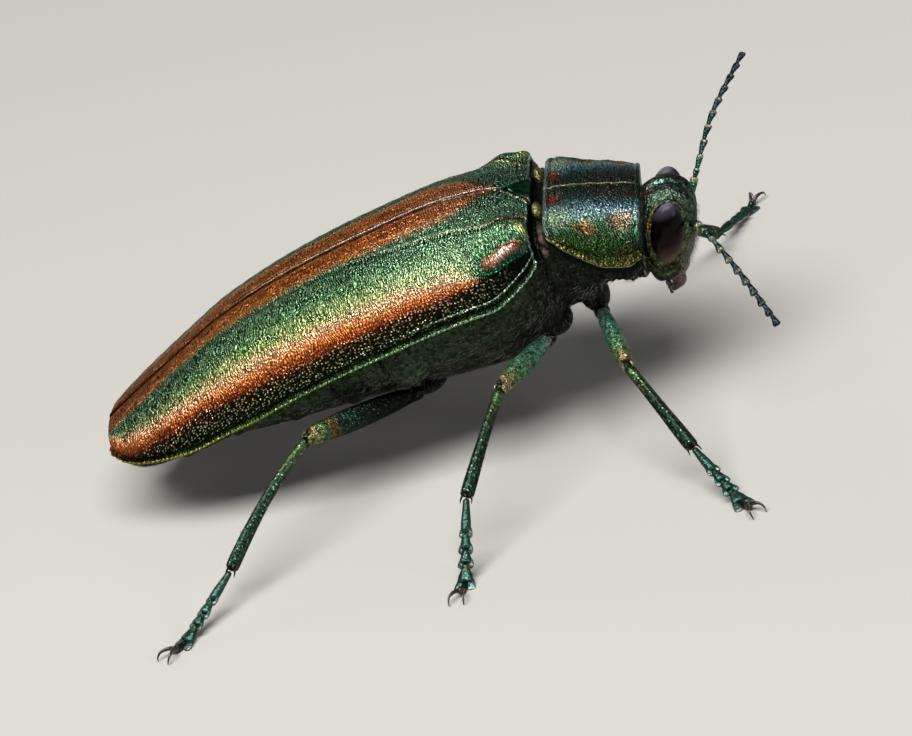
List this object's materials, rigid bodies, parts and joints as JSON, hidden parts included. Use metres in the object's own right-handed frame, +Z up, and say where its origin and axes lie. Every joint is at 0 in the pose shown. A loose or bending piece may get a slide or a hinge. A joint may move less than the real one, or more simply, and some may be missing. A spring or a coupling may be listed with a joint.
{
  "type": "jewel beetle",
  "caption": "Still, life-size metallic green jewel beetle with coppery stripes, standing on its feet with raised and lowered feelers.",
  "frame": {"origin": "on the ground under the middle of the overall box", "axes": "+X towards the head, +Y to the beetle's left, +Z up from the ground"},
  "size_m": [0.0374, 0.036, 0.0132],
  "materials": {
    "wing_case": "metallic-looking green and copper striped chitin, finely wrinkled and punctured",
    "shield": "metallic-looking blue-green chitin with copper patches, finely punctured",
    "underside": "dark bronze-green chitin with short pale hairs",
    "leg": "metallic-looking teal-green chitin with pale gold flecks",
    "eye": "smooth glossy dark brown compound eye",
    "feeler": "blue-green chitin, greyer to the tip",
    "claw": "dark brown horn"
  },
  "bodies": {
    "root": {"elytron_right": "wing_case", "elytron_left": "wing_case", "scutellum": "wing_case", "abdomen_segment_5": "underside", "abdomen_segment_4": "underside", "abdomen_segment_3": "underside", "abdomen_segment_2": "underside", "abdomen_segment_1": "underside", "metathorax": "underside", "mesothorax": "underside", "pronotum": "shield", "prosternum": "underside", "head": "shield", "mouthparts": "claw", "eye_right": "eye", "eye_left": "eye", "antenna_right": "feeler", "antenna_left": "feeler", "coxa_front_right": "underside", "coxa_front_left": "underside", "coxa_middle_right": "underside", "coxa_middle_left": "underside", "coxa_hind_right": "underside", "coxa_hind_left": "underside", "femur_front_right": "leg", "tibia_front_right": "leg", "tarsus_front_right": "leg", "claws_front_right": "claw", "femur_front_left": "leg", "tibia_front_left": "leg", "tarsus_front_left": "leg", "claws_front_left": "claw", "femur_middle_right": "leg", "tibia_middle_right": "leg", "tarsus_middle_right": "leg", "claws_middle_right": "claw", "femur_middle_left": "leg", "tibia_middle_left": "leg", "tarsus_middle_left": "leg", "claws_middle_left": "claw", "femur_hind_right": "leg", "tibia_hind_right": "leg", "tarsus_hind_right": "leg", "claws_hind_right": "claw", "femur_hind_left": "leg", "tibia_hind_left": "leg", "tarsus_hind_left": "leg", "claws_hind_left": "claw"}
  },
  "joints": []
}
